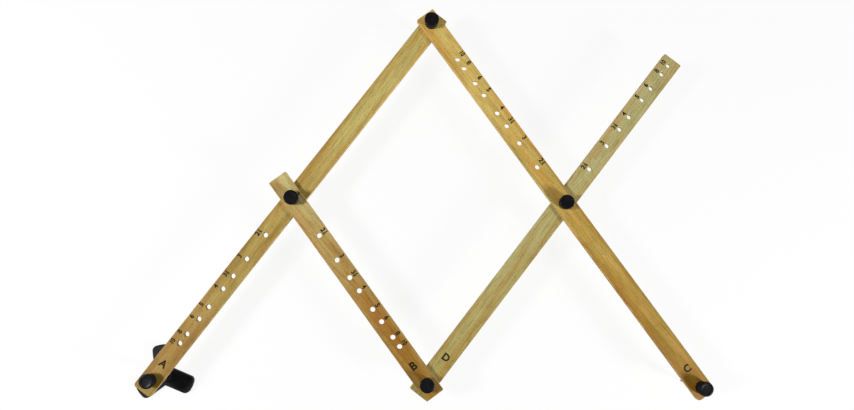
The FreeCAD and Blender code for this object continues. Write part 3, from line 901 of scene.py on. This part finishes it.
def make_lead(brass, lead):
    """Holder with four slit jaws, the grooved ring that closes them, and the lead."""
    holder = turned("jaw_holder", [(1.05, 7.0), (1.7, 7.0), (2.8, 15.0), (2.8, 20.0),
                                   (4.0, 20.0), (4.0, 30.1), (1.8, 30.1), (1.8, 23.1),
                                   (1.05, 23.1)], LEAD, 64, through=True)
    soften(holder, 0.15, 2)
    for long, wide in ((9.0, 0.5), (0.5, 9.0)):
        bpy.ops.object.select_all(action="DESELECT")
        bpy.ops.mesh.primitive_cube_add(
            size=1, location=(LEAD[0] * MM, LEAD[1] * MM, 12.0 * MM),
            scale=(long * MM, wide * MM, 12.0 * MM))
        cut(holder, settle(bpy.context.object))
    dress(smooth(holder, 30), "arm_c", "brass", brass, "lead_holder")

    ring = turned("jaw_ring", [(2.78, 14.0), (4.0, 14.0), (4.22, 14.1), (4.3, 14.35),
                               (4.3, 19.25), (4.22, 19.5), (4.0, 19.6), (2.86, 19.6),
                               (2.86, 15.0)], (0, 0), 112, through=True)
    edit(ring)
    choose(ring, "verts", lambda vert: math.hypot(vert.co.x, vert.co.y) > 3.9 * MM
           and in_groove(vert, 14, 0.2))
    bpy.ops.transform.resize(value=(0.925, 0.925, 1), center_override=(0, 0, 0))
    done()
    lay(ring, LEAD, 0, 0)
    dress(smooth(ring, 30), "lead_ring", "brass", brass, "lead_clamp")

    stick = turned("lead_stick", [(0.14, 0.0), (0.28, 0.05), (0.34, 0.25), (0.98, 3.85),
                                  (1.0, 4.1), (1.0, 17.35), (0.85, 17.5)], LEAD, 48)
    dress(smooth(stick), "lead_stick", "graphite", lead, "drawing_lead")


def three_arms(name, inset, low, high, rim):
    """A flat plate drawn out of a triangle's three sides, with arched tips and round corners."""
    reach, half = 29.0 - inset, 8.75 - inset
    corner = 2 * half / math.sqrt(3)
    bpy.ops.object.select_all(action="DESELECT")
    bpy.ops.mesh.primitive_circle_add(
        vertices=3, radius=corner * MM, fill_type="NGON", location=(0, 0, low * MM))
    piece = settle(bpy.context.object)
    piece.name = name
    edit(piece)
    for number in range(3):
        draw_out_arm(piece, math.radians(30 + 120 * number), low, half, reach)
    bpy.ops.mesh.select_all(action="SELECT")
    bpy.ops.mesh.dissolve_limited(angle_limit=0.01)
    round_corners(piece, corner, (2.5 + inset) * 0.577, 4, lambda vert: True)
    round_corners(piece, reach, (4.5 - inset) * 0.79, 6,
                  lambda vert: side_of_tip(vert) > 0.9 * half * MM)
    bpy.ops.mesh.select_all(action="SELECT")
    bpy.ops.mesh.extrude_region_move(
        TRANSFORM_OT_translate={"value": (0, 0, (high - low) * MM)})
    done()
    close_up(piece)
    for side, width in ((1, rim), (-1, 0.25)):
        edit(piece)
        choose(piece, "faces", lambda face: face.normal.z * side > 0.9)
        bpy.ops.mesh.region_to_loop()
        bpy.ops.mesh.bevel(offset=width * MM, segments=3, affect="EDGES")
        done()
    return piece


def draw_out_arm(piece, turn, low, half, reach):
    """Extrude one side of the triangle into an arm whose tip narrows along an arc."""
    way = Vector((math.cos(turn), math.sin(turn), 0))
    choose(piece, "edges", lambda edge: (edge.verts[0].co.xy.length < 12 * MM)
           and middle(edge).xy.normalized().dot(way.xy) > 0.99)
    place = half / math.sqrt(3)
    width = 1.0
    for share in (1.0, 0.5, 0.12):
        next_place = math.sqrt(reach ** 2 - (share * half) ** 2)
        bpy.ops.mesh.extrude_region_move(
            TRANSFORM_OT_translate={"value": tuple(way * (next_place - place) * MM)})
        size = share / width
        centre = tuple(way * next_place * MM + Vector((0, 0, low * MM)))
        bpy.ops.transform.resize(value=(size, size, 1), center_override=centre)
        place, width = next_place, share


def round_corners(piece, distance, blend, count, wanted):
    """Round the wanted corners of a flat outline that lie at a distance from its middle."""
    choose(piece, "verts", lambda vert: abs(vert.co.xy.length - distance * MM) < 2e-5
           and wanted(vert))
    bpy.ops.mesh.bevel(offset=blend * MM, segments=count, affect="VERTICES")


def side_of_tip(vert):
    """How far a point of the base lies to the side of the nearest arm's middle line."""
    turn = math.atan2(vert.co.y, vert.co.x)
    aside = (turn - math.radians(30) + math.pi / 3) % (2 * math.pi / 3) - math.pi / 3
    return abs(math.sin(aside)) * vert.co.xy.length


def make_base(plastic, rubber, steel, zinc):
    """Rubber pad, moulded three-armed plate with its hub, and the turned post."""
    turn = math.radians(97.7 - 30)
    pad = three_arms("pad", 1.0, 0.0, 1.0, 0.3)
    lay(pad, POLE, turn, 0)
    dress(smooth(pad, 30), "base", "pad_rubber", rubber, "base_pad")

    plate = three_arms("plate", 0.0, 1.0, 5.0, 1.0)
    hub = turned("hub", [(7.9, 4.4), (7.9, 5.02), (7.4, 5.2), (7.12, 5.55), (7.0, 6.1),
                         (7.0, 8.5), (6.85, 8.85), (6.5, 9.0)], (0, 0), 96)
    cut(plate, hub, "UNION")
    socket = turned("socket", [(4.03, 5.0), (4.03, 8.8), (4.35, 9.1)], (0, 0), 64)
    cut(plate, socket)
    sunk = turned("sunk", [(3.9, 0.7), (3.6, 1.0), (1.85, 2.8), (1.85, 5.2)], (0, 0), 48)
    cut(plate, sunk)
    lay(plate, POLE, turn, 0)
    dress(smooth(plate, 30), "base", "base_plastic", plastic, "pole_base")

    post = turned("post", [(1.8, 13.5), (1.8, 5.0), (4.0, 5.0), (4.0, 9.0), (6.0, 9.0),
                           (6.0, 10.5), (4.0, 10.5), (4.0, 26.0), (1.8, 26.0), (1.8, 20.5)],
                  POLE, 72)
    soften(post, 0.22, 3)
    dress(smooth(post), "base", "turned_steel", steel, "pole_post")
    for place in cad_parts["base_screw"].material_slots:
        place.material = zinc


def make_fittings():
    """Finishes of the fittings, and then the fittings from the base to the screws."""
    base_black = black_plastic("base_black", (0.0085, 0.008, 0.0085, 1), 3.2, 0.5, 0.64,
                               bump=0.4, shine=0.12)
    rubber = black_plastic("pad_rubber", (0.02, 0.02, 0.02, 1), 2.0, 0.8, 0.92,
                           bump=0.6, shine=0.2)
    foot_black = black_plastic("foot_black", (0.012, 0.012, 0.012, 1), 4.0, 0.42, 0.55)
    zinc = turned_metal("zinc_plate", (0.62, 0.62, 0.6, 1), (0.42, 0.40, 0.36, 1), 0.28)
    nickel = turned_metal("nickel", (0.60, 0.59, 0.56, 1), (0.42, 0.38, 0.31, 1), 0.2)
    polished = turned_metal("polished_glide", (0.8, 0.8, 0.8, 1), (0.55, 0.55, 0.55, 1), 0.1)
    brass = turned_metal("brass", (0.74, 0.53, 0.22, 1), (0.42, 0.26, 0.1, 1), 0.2)
    make_base(base_black, rubber, nickel, zinc)
    make_foot(foot_black, polished)
    make_tracer(foot_black, nickel)
    make_lead(brass, graphite())
    make_nuts(zinc)
    make_screws(zinc)


# Studio

def seen_directly(tree):
    """1 for rays from the camera, a mirror or clear glass, 0 for light that falls on things."""
    path = shader(tree, "ShaderNodeLightPath").outputs
    both = maths(tree, "MAXIMUM", path["Is Camera Ray"], path["Is Glossy Ray"])
    return maths(tree, "MAXIMUM", both, path["Is Transmission Ray"])


def make_floor():
    """White floor: it shows as nearly plain white, and keeps the object's shadow."""
    bpy.ops.object.select_all(action="DESELECT")
    bpy.ops.mesh.primitive_plane_add(size=12, location=(0.25, 0.15, -0.0001))
    floor = bpy.context.object
    floor.name = "floor"
    white = bpy.data.materials.new("floor_white")
    white.use_nodes = True
    tree = white.node_tree
    tree.nodes.clear()
    paint = shader(tree, "ShaderNodeBsdfDiffuse", {"Color": (0.9, 0.9, 0.9, 1)})
    glow = shader(tree, "ShaderNodeEmission", {"Color": (1, 1, 1, 1), "Strength": 1.0})
    share = maths(tree, "MULTIPLY", seen_directly(tree), 0.9)
    both = shader(tree, "ShaderNodeMixShader",
                  {0: share, 1: paint.outputs[0], 2: glow.outputs[0]})
    shader(tree, "ShaderNodeOutputMaterial", {"Surface": both.outputs[0]})
    floor.data.materials.append(white)


def make_air():
    """Even grey light, and for the camera and mirrors a white surround with a dark ceiling."""
    world = bpy.data.worlds.new("studio")
    bpy.context.scene.world = world
    world.use_nodes = True
    tree = world.node_tree
    tree.nodes.clear()
    aim = shader(tree, "ShaderNodeTexCoord").outputs["Generated"]
    up = shader(tree, "ShaderNodeSeparateXYZ", {0: aim}).outputs["Z"]
    ceiling = ramp(tree, up, 0.2, 0.6, 0.93, 0.06)
    shown = shader(tree, "ShaderNodeCombineColor", {0: ceiling, 1: ceiling, 2: ceiling})
    colour = blend_colour(tree, seen_directly(tree), (0.14, 0.14, 0.14, 1), shown.outputs[0])
    air = shader(tree, "ShaderNodeBackground", {"Color": colour, "Strength": 1.0})
    shader(tree, "ShaderNodeOutputWorld", {"Surface": air.outputs[0]})


def make_lamp(name, place, aim_at, width, length, power):
    """A soft oblong lamp, placed and sized in metres."""
    lamp = bpy.data.lights.new(name, "AREA")
    lamp.shape = "RECTANGLE"
    lamp.size = width
    lamp.size_y = length
    lamp.energy = power
    holder = bpy.data.objects.new(name, lamp)
    bpy.context.scene.collection.objects.link(holder)
    holder.location = place
    ray = Vector(aim_at) - Vector(place)
    holder.rotation_euler = ray.to_track_quat("-Z", "Y").to_euler()


def make_camera():
    """The camera over the bars, looking down at them as in the photo."""
    lens = bpy.data.cameras.new("camera")
    lens.sensor_width = 36
    lens.lens = 20.491
    lens.shift_x = 0.02233
    lens.shift_y = 0.06541
    lens.clip_start = 0.01
    lens.clip_end = 50
    camera = bpy.data.objects.new("camera", lens)
    bpy.context.scene.collection.objects.link(camera)
    camera.location = (0.22723, 0.09297, LOWER_TOP * MM + 0.45058)
    camera.rotation_euler = [math.radians(part) for part in (2.4526, -0.8086, 0.834)]
    bpy.context.scene.camera = camera
    bpy.context.scene.view_settings.view_transform = "Standard"


def make_studio():
    """Pale floor, white surround, a soft lamp on each side and the camera."""
    make_floor()
    make_air()
    make_lamp("left_lamp", (-0.68, 0.04, 0.84), (0.15, 0.14, 0.03), 0.22, 0.24, 11.6)
    make_lamp("right_lamp", (1.27, -0.41, 0.50), (0.35, 0.12, 0.03), 0.22, 0.22, 12.8)
    make_camera()


make_bars()
make_knobs()
make_fittings()
make_studio()
